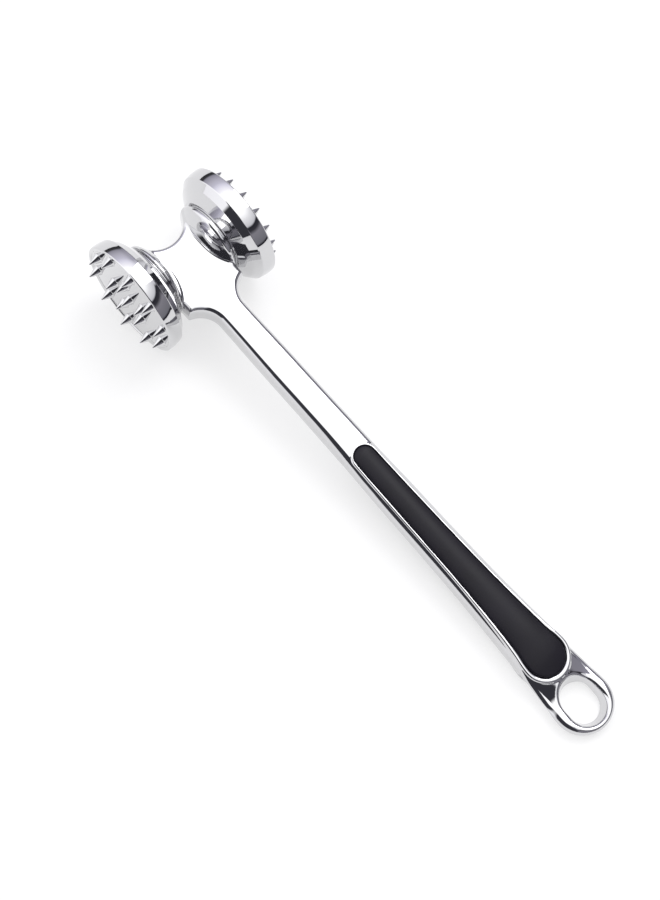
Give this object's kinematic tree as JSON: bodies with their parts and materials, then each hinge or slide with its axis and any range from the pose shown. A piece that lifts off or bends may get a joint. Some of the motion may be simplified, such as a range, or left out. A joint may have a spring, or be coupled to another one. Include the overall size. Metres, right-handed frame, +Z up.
{
  "type": "meat mallet",
  "caption": "Two-sided meat mallet with spiked striking discs on a yoked head, a plated cast handle with soft grip inlays and an oval hang loop, lying on a table.",
  "frame": {"origin": "middle of the bounding box in plan, at table height, with the mallet lying as it rests on the rims of its discs and on its hang loop", "axes": "+X runs along the handle from the head to the hang loop, the coarse disc faces -Y and the fine disc +Y, +Z is up"},
  "size_m": [0.246, 0.0578, 0.046],
  "materials": {
    "plated_casting": "bright plated zinc casting",
    "plated_disc": "bright plated zinc casting",
    "plated_collar": "bright plated, slightly duller in the groove",
    "steel_stud": "plain turned steel, concealed",
    "grip_rubber": "near-black, very fine matt texture"
  },
  "bodies": {
    "root": {"handle_casting": "plated_casting", "coarse_striking_disc": "plated_disc", "fine_striking_disc": "plated_disc", "coarse_disc_collar": "plated_collar", "fine_disc_collar": "plated_collar", "coarse_disc_stud": "steel_stud", "fine_disc_stud": "steel_stud", "upper_grip_inlay": "grip_rubber", "lower_grip_inlay": "grip_rubber"}
  },
  "joints": []
}
